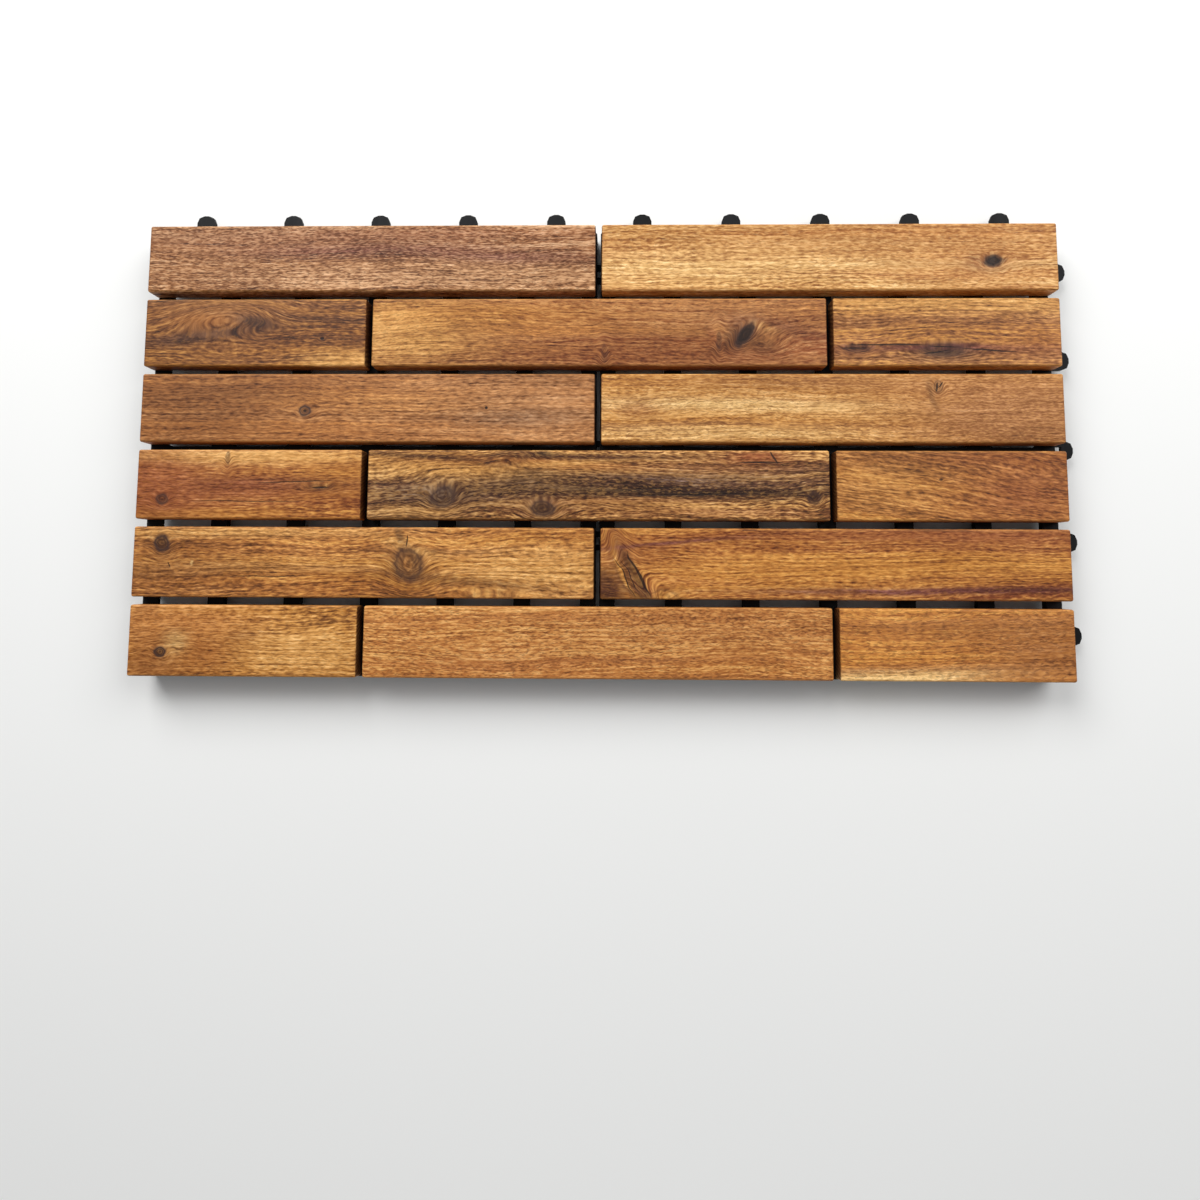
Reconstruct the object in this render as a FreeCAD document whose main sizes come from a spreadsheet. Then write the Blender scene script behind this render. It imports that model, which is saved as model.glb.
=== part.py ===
# Interlocking deck tile: fifteen hardwood slats in six staggered rows, screwed from
# below to two moulded lattice bases that hook into each other. Millimetres, wood up,
# long way along X. The origin is the bottom centre of the box round the whole tile.
import FreeCAD
import Part
import Sketcher
import os

doc = FreeCAD.newDocument("deck_tile")

# Driving sizes
SIZES = (
    ("slat_length", 296, "long slat, end to end"),
    ("slat_width", 45, "slat, across the grain"),
    ("slat_thickness", 12, "slat, top to bottom"),
    ("end_gap", 4, "gap between slat ends in a row"),
    ("row_gap", 5, "gap between rows"),
    ("slat_round", 2.5, "radius of the top edges"),
    ("slat_ease", 1, "bevel of the bottom edges"),
    ("base_side", 296, "one square base, without its loops"),
    ("base_height", 12, "floor to the underside of the wood"),
    ("seam_gap", 2.4, "gap between the two bases"),
    ("corner_cut", 1.6, "bevel at the base's four corners"),
    ("flange_thickness", 3, "flat bars that carry the wood"),
    ("border_width", 10, "flat bar round the edge"),
    ("bar_width", 10.5, "flat bars across the rows"),
    ("bar_pitch", 50, "spacing of those bars"),
    ("rib_width", 3, "ribs along the rows"),
    ("rib_pitch", 60, "spacing of the ribs, pegs and loops"),
    ("rim_width", 1.8, "wall hanging round each column of cells"),
    ("rim_depth", 5, "top of the base to the bottom of those walls"),
    ("cell_corner", 2.5, "bevel in the corners of a cell"),
    ("foot_length", 8, "inner foot at its root, along the bar"),
    ("post_width", 6.4, "edge post at its root, along the edge"),
    ("post_depth", 5.4, "edge post at its root, inwards"),
    ("leg_width", 6.4, "leg under a skirt, along the edge"),
    ("corner_inset", 1.8, "corner post, in from the end of the base"),
    ("draft_angle", 7, "taper of feet and posts, degrees"),
    ("peg_width", 4.3, "peg, along the edge"),
    ("peg_depth", 3.1, "peg, inwards"),
    ("skirt_thickness", 2, "wall under the two looped edges"),
    ("loop_width", 12.5, "loop, along the edge"),
    ("loop_reach", 13.5, "loop, out from the edge"),
    ("loop_thickness", 2.7, "loop, top to bottom"),
    ("loop_corner", 4.8, "round of the loop's outer corners, in two flats each"),
    ("loop_drop", 0.3, "loop below the flange that covers it"),
    ("fit_clearance", 0.4, "play of a peg in its loop"),
    ("shank_width", 3.2, "screw shank, across its corners"),
    ("head_width", 6.2, "screw head, across its corners"),
    ("head_height", 2.2, "screw head, top to bottom"),
    ("screw_length", 12, "screw, below its head"),
    ("hole_clearance", 0.4, "play of a shank in the base"),
    ("pilot_clearance", 0.05, "play of a shank in the wood"),
    ("screw_offset", 5, "screw, from the slat's middle line"),
)

ROWS = 6
SIX = tuple(range(6))

sheet = doc.addObject("Spreadsheet::Sheet", "Sizes")
for line, (alias, size, meaning) in enumerate(SIZES, start=1):
    sheet.set(f"A{line}", meaning)
    sheet.set(f"B{line}", str(size))
    sheet.setAlias(f"B{line}", alias)
doc.recompute()


def value(expression):
    """The number that an expression over the sheet comes to."""
    result = sheet.evalExpression(expression)
    return float(getattr(result, "Value", result))


# Places worked out from the sizes, as expressions over the sheet
HALF = "Sizes.base_side / 2"
FLANGE_BOTTOM = "(Sizes.base_height - Sizes.flange_thickness)"
RIM_BOTTOM = "(Sizes.base_height - Sizes.rim_depth)"
LOOP_BOTTOM = f"({FLANGE_BOTTOM} - Sizes.loop_drop - Sizes.loop_thickness)"
BORDER_INNER = f"({HALF} - Sizes.border_width)"
LOOP_COVER = "(Sizes.loop_reach - Sizes.seam_gap + Sizes.fit_clearance)"
LOOP_ROOM = f"({HALF} - max(Sizes.border_width; {LOOP_COVER}))"
SLOT_LENGTH = "(Sizes.seam_gap + Sizes.peg_depth + Sizes.fit_clearance)"
SLOT_WIDTH = "(Sizes.peg_width + 2 * Sizes.fit_clearance)"
BASE_X = "(Sizes.base_side + Sizes.seam_gap) / 2"
SHORT_LENGTH = "(Sizes.slat_length - Sizes.end_gap) / 2"
ROW_STEP = "(Sizes.slat_width + Sizes.row_gap)"
DECK_WIDTH = f"({ROWS} * Sizes.slat_width + {ROWS - 1} * Sizes.row_gap)"
DECK_END = "(Sizes.slat_length + Sizes.end_gap / 2)"
BASE_END = "(Sizes.base_side + Sizes.seam_gap / 2)"

# Bars and ribs on each side of the base's middle ones
BARS = int(value(f"({BORDER_INNER} - Sizes.bar_width / 2 - Sizes.rim_width) / Sizes.bar_pitch"))
RIBS = int(value(f"({BORDER_INNER} - Sizes.rib_width / 2 - Sizes.rim_width) / Sizes.rib_pitch"))

# The box round the tile runs from the slat ends and the plain edges to the loops
MIDDLE_X = f"(max({DECK_END}; {BASE_END} + Sizes.loop_reach) - max({DECK_END}; {BASE_END})) / 2"
MIDDLE_Y = (
    f"(max({DECK_WIDTH} / 2; {HALF} + Sizes.loop_reach) - max({DECK_WIDTH} / 2; {HALF})) / 2"
)


def origin_part(body, role):
    """One of the body's own origin planes or axes."""
    return next(item for item in body.Origin.OriginFeatures if item.Role == role)


def place(thing, x, y, z):
    """Binds an object's place to the sheet, from the middle of the deck."""
    thing.setExpression("Placement.Base.x", f"{x} - {MIDDLE_X}")
    thing.setExpression("Placement.Base.y", f"{y} - {MIDDLE_Y}")
    thing.setExpression("Placement.Base.z", z)


def level_sketch(body, name, height):
    """A horizontal sketch of the body at a height."""
    sketch = body.newObject("Sketcher::SketchObject", name)
    sketch.AttachmentSupport = [(origin_part(body, "XY_Plane"), "")]
    sketch.MapMode = "FlatFace"
    sketch.setExpression("AttachmentOffset.Base.z", height)
    return sketch


def outline(sketch, corners):
    """A closed outline of straight lines, with every corner tied to the sizes."""
    first = sketch.GeometryCount
    spots = [FreeCAD.Vector(value(x), value(y), 0) for x, y in corners]
    for start, finish in zip(spots, spots[1:] + spots[:1]):
        sketch.addGeometry(Part.LineSegment(start, finish), False)
    for number, (x, y) in enumerate(corners):
        following = first + (number + 1) % len(corners)
        sketch.addConstraint(Sketcher.Constraint("Coincident", first + number, 2, following, 1))
        for direction, expression in (("DistanceX", x), ("DistanceY", y)):
            tie = sketch.addConstraint(
                Sketcher.Constraint(direction, -1, 1, first + number, 1, value(expression))
            )
            sketch.setExpression(f"Constraints[{tie}]", expression)


def rectangle(sketch, left, right, front, back):
    outline(sketch, ((left, front), (right, front), (right, back), (left, back)))


def hexagon(sketch, x, y, width):
    """A hexagon of a width across its corners."""
    outline(
        sketch,
        [
            (
                f"{x} + {width} / 2 * cos({60 * turn} deg)",
                f"{y} + {width} / 2 * sin({60 * turn} deg)",
            )
            for turn in SIX
        ],
    )


def pad(body, sketch, length, down=False):
    feature = body.newObject("PartDesign::Pad", f"{sketch.Name}_pad")
    feature.Profile = sketch
    feature.setExpression("Length", length)
    feature.Reversed = down
    feature.Refine = False
    return feature


def pocket(body, sketch, depth, down=False):
    feature = body.newObject("PartDesign::Pocket", f"{sketch.Name}_cut")
    feature.Profile = sketch
    feature.setExpression("Length", depth)
    feature.Reversed = not down
    feature.Refine = False
    return feature


def repeat(body, name, features, axis, step, count):
    """Repeats features along one of the body's axes."""
    pattern = body.newObject("PartDesign::LinearPattern", name)
    pattern.Originals = features
    pattern.Direction = (origin_part(body, axis), [""])
    pattern.Mode = "Spacing"
    pattern.setExpression("Offset", step)
    pattern.Occurrences = count
    pattern.Refine = False
    body.Tip = pattern


def spread(middle, width):
    """Two edges a width apart about a middle."""
    return f"{middle} - {width} / 2", f"{middle} + {width} / 2"


def bar_bounds(index):
    """Left and right edges of a bar, counted from the middle one."""
    return spread(f"{index} * Sizes.bar_pitch", "Sizes.bar_width")


def bevelled_rectangle(sketch, left, right, front, back, cut):
    outline(
        sketch,
        (
            (f"{left} + {cut}", front),
            (f"{right} - {cut}", front),
            (right, f"{front} + {cut}"),
            (right, f"{back} - {cut}"),
            (f"{right} - {cut}", back),
            (f"{left} + {cut}", back),
            (left, f"{back} - {cut}"),
            (left, f"{front} + {cut}"),
        ),
    )


def cut_cells(body):
    """Openings between the bars and ribs: a column of them between two bars and one
    between the last bar and the border, each repeated along X."""
    ribs = [
        spread(f"{rib} * Sizes.rib_pitch", "Sizes.rib_width") for rib in range(-RIBS, RIBS + 1)
    ]
    fronts = [f"-{BORDER_INNER}", *(back for front, back in ribs)]
    backs = [*(front for front, back in ribs), BORDER_INNER]
    inner = (bar_bounds(-BARS)[1], bar_bounds(1 - BARS)[0])
    outer = (f"-{BORDER_INNER}", bar_bounds(-BARS)[0])
    across = f"{BORDER_INNER} + {BARS} * Sizes.bar_pitch + Sizes.bar_width / 2"
    columns = (
        ("inner", inner, "Sizes.bar_pitch", 2 * BARS),
        ("outer", outer, across, 2),
    )
    for name, (left, right), step, count in columns:
        sketch = level_sketch(body, f"{name}_cells", "Sizes.base_height")
        for front, back in zip(fronts, backs):
            bevelled_rectangle(sketch, left, right, front, back, "Sizes.cell_corner")
        cut = pocket(body, sketch, "Sizes.rim_depth", down=True)
        repeat(body, f"{name}_cell_columns", [cut], "X_Axis", step, count)


def add_rims(body):
    """Walls that hang round each column of cells. They stay back from the two edges
    whose border covers a neighbour's loops."""
    height = "(Sizes.rim_depth - Sizes.flange_thickness)"
    back = f"{BORDER_INNER} + Sizes.rim_width"
    inner = level_sketch(body, "inner_rims", RIM_BOTTOM)
    left = f"{bar_bounds(-BARS)[1]} - Sizes.rim_width"
    right = f"{bar_bounds(1 - BARS)[0]} + Sizes.rim_width"
    rectangle(inner, left, right, f"-{LOOP_ROOM}", back)
    walls = pad(body, inner, height)
    repeat(body, "inner_rim_row", [walls], "X_Axis", "Sizes.bar_pitch", 2 * BARS)
    outer = level_sketch(body, "outer_rims", RIM_BOTTOM)
    last_left = f"{bar_bounds(BARS)[1]} - Sizes.rim_width"
    first_right = f"{bar_bounds(-BARS)[0]} + Sizes.rim_width"
    rectangle(outer, f"-{LOOP_ROOM}", first_right, f"-{LOOP_ROOM}", back)
    rectangle(outer, last_left, back, f"-{LOOP_ROOM}", back)
    pad(body, outer, height)


def tapered_foot(body, name, across, along, upright=()):
    """A foot from the flange to the floor, narrowed by the draft on its sides, apart
    from the outer ones that stay upright."""
    foot = body.newObject("PartDesign::AdditiveWedge", name)
    foot.AttachmentSupport = [(origin_part(body, "XY_Plane"), "")]
    foot.MapMode = "FlatFace"
    turned_down = FreeCAD.Rotation(FreeCAD.Vector(1, 0, 0), -90)
    foot.AttachmentOffset = FreeCAD.Placement(FreeCAD.Vector(), turned_down)
    foot.setExpression("AttachmentOffset.Base.z", FLANGE_BOTTOM)
    foot.Ymin = 0
    foot.setExpression("Ymax", FLANGE_BOTTOM)
    taper = f"{FLANGE_BOTTOM} * tan(Sizes.draft_angle * 1 deg)"
    for letter, (low, high) in (("X", across), ("Z", along)):
        foot.setExpression(f"{letter}min", low)
        foot.setExpression(f"{letter}max", high)
        foot.setExpression(f"{letter}2min", low if letter in upright else f"{low} + {taper}")
        foot.setExpression(f"{letter}2max", f"{high} - {taper}")
    foot.Refine = False
    return foot


def add_feet(body):
    """Feet at every crossing of a bar and a rib, between the bar's walls."""
    across = spread(f"{-BARS} * Sizes.bar_pitch", "(Sizes.bar_width - 2 * Sizes.rim_width)")
    column = [
        tapered_foot(
            body,
            f"foot_{number}",
            across,
            spread(f"{rib} * Sizes.rib_pitch", "Sizes.foot_length"),
        )
        for number, rib in enumerate(range(-RIBS, RIBS + 1))
    ]
    repeat(body, "feet", column, "X_Axis", "Sizes.bar_pitch", 2 * BARS + 1)


def add_posts(body):
    """Tapered posts under the two plain edges, halfway between the pegs, and legs under
    the skirts of the other two."""
    plain_edge = (f"-{HALF}", f"-({HALF} - Sizes.post_depth)")
    first = spread(f"{0.5 - RIBS} * Sizes.rib_pitch", "Sizes.post_width")
    front = tapered_foot(body, "front_post", first, plain_edge, upright="Z")
    repeat(body, "front_posts", [front], "X_Axis", "Sizes.rib_pitch", 2 * RIBS)
    side = tapered_foot(body, "side_post", plain_edge, first, upright="X")
    repeat(body, "side_posts", [side], "Y_Axis", "Sizes.rib_pitch", 2 * RIBS)
    last = f"({HALF} - Sizes.corner_inset)"
    left_corner = (f"-{last}", f"-({last} - Sizes.post_depth)")
    right_corner = (f"{last} - Sizes.post_depth", last)
    tapered_foot(body, "left_corner_post", left_corner, plain_edge, upright="Z")
    tapered_foot(body, "right_corner_post", right_corner, plain_edge, upright="Z")
    legs = level_sketch(body, "legs", LOOP_BOTTOM)
    skirt_edge = (f"{HALF} - Sizes.skirt_thickness", HALF)
    for gap in range(-RIBS, RIBS):
        leg = spread(f"{gap + 0.5} * Sizes.rib_pitch", "Sizes.leg_width")
        rectangle(legs, *leg, *skirt_edge)
        rectangle(legs, *skirt_edge, *leg)
    rectangle(legs, f"-{last}", f"-({last} - Sizes.leg_width)", *skirt_edge)
    rectangle(legs, *skirt_edge, f"{last} - Sizes.leg_width", last)
    pad(body, legs, LOOP_BOTTOM, down=True)


def add_pegs(body):
    """Pegs down to the floor along the left and front edges."""
    sketch = level_sketch(body, "pegs", FLANGE_BOTTOM)
    edge = (f"-{HALF}", f"-({HALF} - Sizes.peg_depth)")
    for rib in range(-RIBS, RIBS + 1):
        along = spread(f"{rib} * Sizes.rib_pitch", "Sizes.peg_width")
        rectangle(sketch, *along, *edge)
        rectangle(sketch, *edge, *along)
    pad(body, sketch, FLANGE_BOTTOM, down=True)


def add_skirts(body):
    """Walls under the right and back edges, which carry the loops."""
    sketch = level_sketch(body, "skirts", LOOP_BOTTOM)
    inner = f"{HALF} - Sizes.skirt_thickness"
    end = f"{HALF} - Sizes.corner_cut"
    outline(
        sketch,
        (
            (inner, f"-({end})"),
            (HALF, f"-({end})"),
            (HALF, end),
            (end, HALF),
            (f"-({end})", HALF),
            (f"-({end})", inner),
            (inner, inner),
        ),
    )
    pad(body, sketch, f"{FLANGE_BOTTOM} - {LOOP_BOTTOM}")


def add_loops(body):
    """Flat loops out of the right and back edges. A neighbour's peg drops into the
    slot of each."""
    root = f"{HALF} - Sizes.skirt_thickness / 2"
    tip = f"{HALF} + Sizes.loop_reach"
    shoulder = f"{tip} - Sizes.loop_corner"
    wide = "Sizes.loop_width / 2"
    bend = f"({wide} - Sizes.loop_corner)"
    turn = "Sizes.loop_corner * sqrt(0.5)"
    half_tab = [
        (root, wide),
        (shoulder, wide),
        (f"{shoulder} + {turn}", f"({bend} + {turn})"),
        (tip, bend),
    ]
    tab = [(out, f"-{along}") for out, along in half_tab] + half_tab[::-1]
    slot_end = f"{HALF} + {SLOT_LENGTH}"
    slit = f"{SLOT_WIDTH} / 2"
    slot = ((HALF, f"-{slit}"), (slot_end, f"-{slit}"), (slot_end, slit), (HALF, slit))

    def on_right(middle, out, along):
        return out, f"{middle} + {along}"

    def on_back(middle, out, along):
        return f"{middle} - ({along})", out

    for name, turned in (("right", on_right), ("back", on_back)):
        sketch = level_sketch(body, f"{name}_loops", LOOP_BOTTOM)
        for rib in range(-RIBS, RIBS + 1):
            middle = f"{rib} * Sizes.rib_pitch"
            for shape in (tab, slot):
                outline(sketch, [turned(middle, *corner) for corner in shape])
        pad(body, sketch, "Sizes.loop_thickness")


def row_middle(row):
    return f"({row - (ROWS - 1) / 2} * {ROW_STEP})"


def screw_y(row):
    """Screws stand off the slat's middle line, clear of the ribs and feet."""
    side = "+" if row % 2 else "-"
    return f"{row_middle(row)} {side} Sizes.screw_offset"


def slats():
    """Every slat as name, middle along X, middle along Y, length and row from the front."""
    found = []
    for row in range(ROWS):
        label = f"slat_row{ROWS - row}"
        middle = row_middle(row)
        if row % 2:
            aside = "(Sizes.slat_length + Sizes.end_gap) / 2"
            found.append((f"{label}_left", f"-{aside}", middle, "Sizes.slat_length", row))
            found.append((f"{label}_right", aside, middle, "Sizes.slat_length", row))
        else:
            aside = f"(Sizes.slat_length / 2 + Sizes.end_gap + {SHORT_LENGTH} / 2)"
            found.append((f"{label}_left", f"-{aside}", middle, SHORT_LENGTH, row))
            found.append((f"{label}_middle", "0", middle, "Sizes.slat_length", row))
            found.append((f"{label}_right", aside, middle, SHORT_LENGTH, row))
    return found


def screws_under(slat):
    """Side (-1 or 1) and bar of each screw of a slat: the outer two bars that it covers
    on each base."""
    name, middle, along, length, row = slat
    places = []
    for side in (-1, 1):
        covered = []
        for bar in range(-BARS, BARS + 1):
            apart = value(f"{side} * {BASE_X} + {bar} * Sizes.bar_pitch - ({middle})")
            if abs(apart) < value(f"{length} / 2 - Sizes.head_width"):
                covered.append(bar)
        places += [(side, bar) for bar in sorted({*covered[:1], *covered[-1:]})]
    return places


def edges_at(feature, height):
    """Names of the feature's level edges at a height."""
    return [
        f"Edge{number}"
        for number, edge in enumerate(feature.Shape.Edges, start=1)
        if all(abs(corner.Z - height) < 0.01 for corner in edge.Vertexes)
    ]


def make_slat(slat):
    """One board with round top edges, eased bottom edges and its pilot holes."""
    name, middle, along, length, row = slat
    body = doc.addObject("PartDesign::Body", name)
    plan = level_sketch(body, "plan", "0")
    rectangle(
        plan, f"-{length} / 2", f"{length} / 2", "-Sizes.slat_width / 2", "Sizes.slat_width / 2"
    )
    board = pad(body, plan, "Sizes.slat_thickness")
    doc.recompute()
    top = value("Sizes.slat_thickness")
    rounded = body.newObject("PartDesign::Fillet", "top_round")
    rounded.Base = (board, edges_at(board, top))
    rounded.setExpression("Radius", "Sizes.slat_round")
    doc.recompute()
    eased = body.newObject("PartDesign::Chamfer", "bottom_ease")
    eased.Base = (rounded, edges_at(rounded, 0))
    eased.setExpression("Size", "Sizes.slat_ease")
    pilots = level_sketch(body, "pilots", "0")
    for side, bar in screws_under(slat):
        x = f"{side} * {BASE_X} + {bar} * Sizes.bar_pitch - ({middle})"
        y = f"{screw_y(row)} - ({along})"
        hexagon(pilots, x, y, "(Sizes.shank_width + 2 * Sizes.pilot_clearance)")
    pocket(body, pilots, "Sizes.screw_length - Sizes.flange_thickness + Sizes.hole_clearance")
    place(body, middle, along, "Sizes.base_height")
    return body


def cut_screw_holes(body, bars_by_parity):
    """Holes through the bars, in two kinds of row that take turns."""
    width = "(Sizes.shank_width + 2 * Sizes.hole_clearance)"
    for parity, bars in enumerate(bars_by_parity):
        sketch = level_sketch(body, f"screw_holes_{parity}", "Sizes.base_height")
        for bar in sorted(bars):
            hexagon(sketch, f"{bar} * Sizes.bar_pitch", screw_y(parity), width)
        holes = pocket(body, sketch, "Sizes.flange_thickness", down=True)
        rows = len(range(parity, ROWS, 2))
        repeat(body, f"screw_rows_{parity}", [holes], "Y_Axis", f"2 * {ROW_STEP}", rows)


def make_base(name, bars_by_parity):
    """One moulded base, floor at zero, about its own middle."""
    body = doc.addObject("PartDesign::Body", name)
    plate = level_sketch(body, "flange", FLANGE_BOTTOM)
    bevelled_rectangle(plate, f"-{HALF}", HALF, f"-{HALF}", HALF, "Sizes.corner_cut")
    pad(body, plate, "Sizes.flange_thickness")
    cut_screw_holes(body, bars_by_parity)
    add_skirts(body)
    add_rims(body)
    cut_cells(body)
    add_feet(body)
    add_posts(body)
    add_pegs(body)
    add_loops(body)
    body.Tip.Refine = True
    return body


def same_again(body, name):
    """Another piece out of the same mould."""
    twin = doc.addObject("Part::Feature", name)
    twin.Shape = body.Shape
    return twin


def make_screws(places):
    """All the screws: a six-sided head and shank, standing head down, in one node."""
    head = doc.addObject("Part::Prism", "screw_head")
    head.setExpression("Circumradius", "Sizes.head_width / 2")
    head.setExpression("Height", "Sizes.head_height")
    head.setExpression("Placement.Base.z", f"{FLANGE_BOTTOM} - Sizes.head_height")
    shank = doc.addObject("Part::Prism", "screw_shank")
    shank.setExpression("Circumradius", "Sizes.shank_width / 2")
    shank.setExpression("Height", "Sizes.screw_length")
    shank.setExpression("Placement.Base.z", FLANGE_BOTTOM)
    screw = doc.addObject("Part::Fuse", "screw")
    screw.Base = head
    screw.Tool = shank
    doc.recompute()
    copies = []
    for x, y in places:
        copy = screw.Shape.copy()
        copy.translate(FreeCAD.Vector(value(x), value(y), 0))
        copies.append(copy)
    node = doc.addObject("Part::Feature", "slat_screws")
    node.Shape = Part.makeCompound(copies)
    place(node, "0", "0", "0")
    return node


boards = slats()
places = []
bars_by_parity = [set(), set()]
for slat in boards:
    for side, bar in screws_under(slat):
        bars_by_parity[slat[4] % 2].add(bar)
        places.append((f"{side} * {BASE_X} + {bar} * Sizes.bar_pitch", screw_y(slat[4])))

nodes = [make_slat(slat) for slat in boards]
left = make_base("base_left", bars_by_parity)
doc.recompute()
right = same_again(left, "base_right")
place(left, f"-{BASE_X}", "0", "0")
place(right, BASE_X, "0", "0")
nodes += [left, right, make_screws(places)]
doc.recompute()

for item in doc.Objects:
    if "Invalid" in item.State or "Error" in item.State:
        raise RuntimeError(f"{item.Label} failed: {item.State}")
for node in nodes:
    if node.Shape.isNull() or not node.Shape.isValid():
        raise RuntimeError(f"{node.Label} has no valid shape")

os.makedirs("parts", exist_ok=True)
for node in nodes:
    node.Shape.exportStep(f"parts/{node.Label}.step")
    print(node.Label, len(node.Shape.Solids), "solids", round(node.Shape.Volume), "mm3")
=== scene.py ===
"""Looks of an interlocking deck tile: oiled acacia boards, black moulded bases, screws."""
import math

import bmesh
import bpy
from mathutils import Euler, Matrix, Vector


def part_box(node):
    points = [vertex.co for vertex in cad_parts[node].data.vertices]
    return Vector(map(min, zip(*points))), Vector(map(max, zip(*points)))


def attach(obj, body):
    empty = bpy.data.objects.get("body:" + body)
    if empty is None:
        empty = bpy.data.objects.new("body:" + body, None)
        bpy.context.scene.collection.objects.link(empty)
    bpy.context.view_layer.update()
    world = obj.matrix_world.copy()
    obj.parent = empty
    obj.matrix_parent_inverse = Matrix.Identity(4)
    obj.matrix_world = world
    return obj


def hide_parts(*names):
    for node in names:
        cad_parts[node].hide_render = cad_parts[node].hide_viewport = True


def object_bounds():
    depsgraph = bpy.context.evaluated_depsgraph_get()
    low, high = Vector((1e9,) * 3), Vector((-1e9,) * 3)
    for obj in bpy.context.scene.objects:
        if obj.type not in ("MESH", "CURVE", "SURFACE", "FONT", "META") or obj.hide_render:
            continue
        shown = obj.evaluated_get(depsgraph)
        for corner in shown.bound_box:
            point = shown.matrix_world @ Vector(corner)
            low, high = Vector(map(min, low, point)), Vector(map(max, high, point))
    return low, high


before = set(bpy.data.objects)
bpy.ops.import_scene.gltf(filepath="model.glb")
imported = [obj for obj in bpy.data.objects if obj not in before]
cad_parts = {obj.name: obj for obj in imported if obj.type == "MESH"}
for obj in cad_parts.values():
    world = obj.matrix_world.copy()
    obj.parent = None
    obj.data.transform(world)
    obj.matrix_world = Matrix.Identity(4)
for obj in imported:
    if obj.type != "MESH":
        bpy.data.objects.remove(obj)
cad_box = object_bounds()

bl_info = {
    "name": "Interlocking Deck Tile",
    "version": (1, 0, 0),
    "blender": (4, 5, 0),
    "location": "3D View > Sidebar > Deck Tile",
    "description": "Dresses a packed deck tile with wood, plastic and steel",
    "category": "Object",
}

MILLIMETRE = 0.001
SAME_PLACE = 1e-6

# The camera: the side of the square image in pixels, how many pixels the lens's axis lies
# above the image's middle, the turn of the view in degrees, and where the middle of the
# deck's face lies as the camera sees it, in millimetres.
IMAGE_SIDE = 1200
AXIS_ABOVE_MIDDLE = 90
VIEW_TURN = (-4.731, -1.051, -0.179)
DECK_FROM_CAMERA = (-1.51, 40.93, -486.62)

# The floor from its middle to an edge, and the soft lights: name, place and side. All of
# it is in metres.
FLOOR_REACH = 4.0
LIGHTS = (
    ("key", (-0.8, 1.25, 1.25), 1.2),
    ("fill", (1.1, 0.9, 1.2), 1.4),
    ("front", (0.2, -1.7, 1.0), 1.2),
)

# The noise of each board starts at a place of its own.
FIRST_SEED = 11.0
SEED_STEP = 7.3

# How acacia is drawn: how far the grain leans on its way through a board, how widely it
# spreads the board's three tones and where they lie on the spread, how ragged a knot is,
# where in it the dark rim lies, and how closely the rings lie in it and in the end grain.
GRAIN_LEAN = 0.45
TONE_SPREAD = 4.6
TONE_STOPS = (0.05, 0.5, 0.95)
KNOT_RAGGED = 0.55
KNOT_RIM = 0.9
KNOT_RINGS = 15
END_RINGS = 2.4

# How thin the darker skin of the ends and the underside is, the ends' dark being partly
# the end grain's own tone and partly painted shade, and where the painted highlight along
# the long top edges begins and ends below the side and the top, in millimetres.
SKIN = 0.6
HIGHLIGHT_SIDE = (1.9, 0.7)
HIGHLIGHT_TOP = (2.2, 0.6)

# How the moulding's mesh is cleaned, which of its edges are softened and how many flats
# the soft edges have.
MOULDING_WELD = 2e-6
MOULDING_FLAT = math.radians(1)
MOULDING_SHARP = math.radians(35)
SOFT_STEPS = 2

# The screw's facets and, as shares of its sizes, the round rim of its head, the slots and
# the floor of its cross recess, the core and the foot of its thread, and its point.
HEAD_SIDES = 24
HEAD_STEPS = 4
SHANK_SIDES = 12
RIM_SHARE = 0.42
SLOT_SHARE = 1 / 9
RECESS_FLOOR_SHARE = 0.55
CORE_SHARE = 0.68
FOOT_SHARE = 0.9
POINT_SHARE = 0.1
CUT_TOLERANCE = 1e-8


def linear(code):
    """A web colour as linear red, green and blue."""
    shares = [int(code[place : place + 2], 16) / 255 for place in (1, 3, 5)]
    return tuple(s / 12.92 if s <= 0.04045 else ((s + 0.055) / 1.055) ** 2.4 for s in shares)


def shade(name, description, code):
    return bpy.props.FloatVectorProperty(
        name=name, description=description, subtype="COLOR", size=3, min=0, max=1,
        default=linear(code),
    )


def tone(name, code):
    return shade(name, f"Wood tone: {name.lower()}", code)


def length(name, description, millimetres):
    return bpy.props.FloatProperty(
        name=name, description=description, default=millimetres * MILLIMETRE, min=0,
        unit="LENGTH", precision=5,
    )


def share(name, description, default, most=1.0):
    return bpy.props.FloatProperty(
        name=name, description=description, default=default, min=0, max=most
    )


def power(name, description, watts):
    return bpy.props.FloatProperty(
        name=name, description=description, default=watts, min=0, unit="POWER"
    )


class BoardSettings(bpy.types.PropertyGroup):
    """Sizes and tones of the boards."""

    edge_round: length("Edge round", "Radius of the top and upright edges", 1.4)
    under_ease: length("Under ease", "Bevel of the bottom edges", 1.0)
    round_steps: bpy.props.IntProperty(
        name="Round steps", description="Flats in a round edge", default=4, min=1, max=12
    )
    pore_depth: length("Pore depth", "Depth of the open pores", 0.25)
    oil_sheen: share("Oil sheen", "Strength of the oil's clear coat", 0.06)
    roughness: share("Roughness", "Roughness of the oiled face", 0.52)
    straw: tone("Straw", "#e3b878")
    sand: tone("Sand", "#cd9c70")
    honey: tone("Honey", "#d39a55")
    gold: tone("Gold", "#c08038")
    amber: tone("Amber", "#ad6c33")
    tan: tone("Tan", "#a26a3c")
    chestnut: tone("Chestnut", "#825028")
    rust: tone("Rust", "#8a4a26")
    rosewood: tone("Rosewood", "#68362c")
    umber: tone("Umber", "#432110")
    smoke: tone("Smoke", "#3d2b26")
    ink: tone("Ink", "#1a0f0c")


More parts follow.
